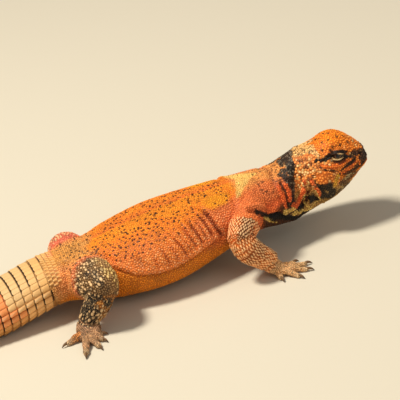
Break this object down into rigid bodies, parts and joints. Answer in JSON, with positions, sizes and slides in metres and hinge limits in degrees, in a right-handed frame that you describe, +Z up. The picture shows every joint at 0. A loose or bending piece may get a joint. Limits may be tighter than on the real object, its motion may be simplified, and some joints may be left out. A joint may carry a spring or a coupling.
{
  "type": "uromastyx lizard",
  "caption": "Life-size spiny-tailed lizard, propped on its forelegs with its head turned to the right, and a thick tail of spiny rings lying in a gentle curve.",
  "frame": {"origin": "on the ground, under the middle of the lizard's bounding box", "axes": "+X from tail to head along the trunk, +Y to the lizard's left, +Z up from the ground"},
  "size_m": [0.326, 0.1295, 0.057],
  "materials": {
    "back_skin": "satin",
    "neck_skin": "satin",
    "head_skin": "satin",
    "jaw_skin": "satin",
    "tail_scutes": "matt",
    "foreleg_skin": "satin",
    "hand_skin": "satin",
    "hindleg_skin": "satin",
    "foot_skin": "satin",
    "cornea": "wet gloss"
  },
  "bodies": {
    "root": {"torso": "back_skin", "neck": "neck_skin", "head": "head_skin", "lower_jaw": "jaw_skin", "tail_base": "tail_scutes", "tail_middle": "tail_scutes", "tail_rear": "tail_scutes", "tail_tip": "tail_scutes", "eye_left": "cornea", "eye_right": "cornea", "upper_arm_right": "foreleg_skin", "forearm_right": "foreleg_skin", "hand_right": "hand_skin", "thigh_right": "hindleg_skin", "shank_right": "hindleg_skin", "foot_right": "foot_skin", "upper_arm_left": "foreleg_skin", "forearm_left": "foreleg_skin", "hand_left": "hand_skin", "thigh_left": "hindleg_skin", "shank_left": "hindleg_skin", "foot_left": "foot_skin"}
  },
  "joints": []
}
